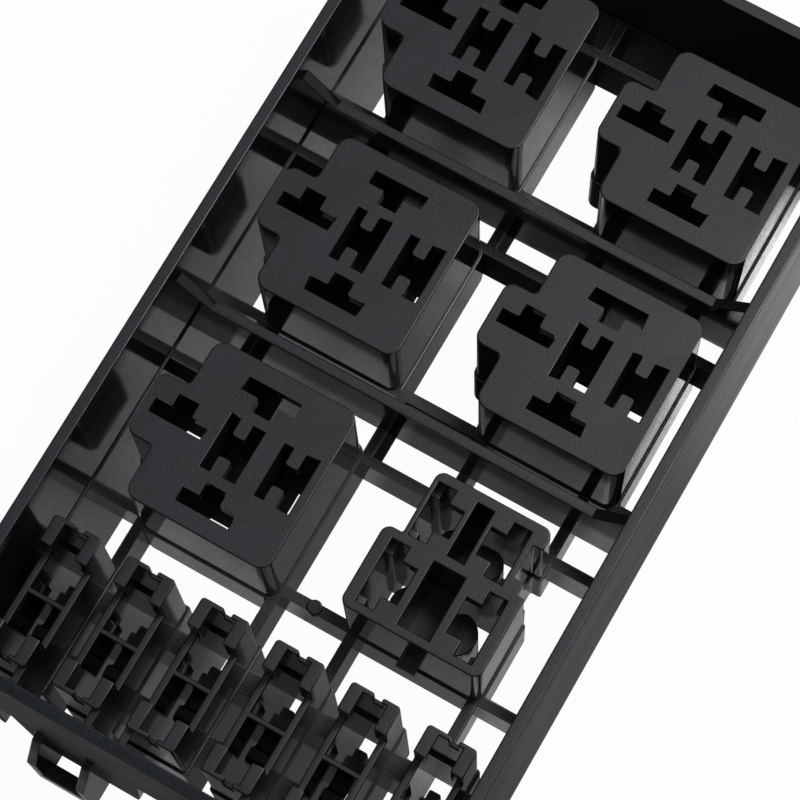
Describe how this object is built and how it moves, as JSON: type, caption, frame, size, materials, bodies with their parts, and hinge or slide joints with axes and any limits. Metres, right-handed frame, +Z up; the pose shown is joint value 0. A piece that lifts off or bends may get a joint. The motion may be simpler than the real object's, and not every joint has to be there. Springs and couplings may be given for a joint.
{
  "type": "fuse and relay box tray",
  "caption": "Open moulded tray for a vehicle's fuses and relays: rows of relay sockets with slotted faces, a row of fuse sockets, a rib grid and open wire exits.",
  "frame": {"origin": "middle of the bounding box at the lower edge that the box stands on", "axes": "+X across the box to the right, +Y along it towards the relay end, +Z up out of the sockets"},
  "size_m": [0.0742, 0.138, 0.0507],
  "materials": {
    "black_plastic": "fine matte grain on the upper faces and polished upright faces"
  },
  "bodies": {
    "root": {"housing": "black_plastic"}
  },
  "joints": []
}
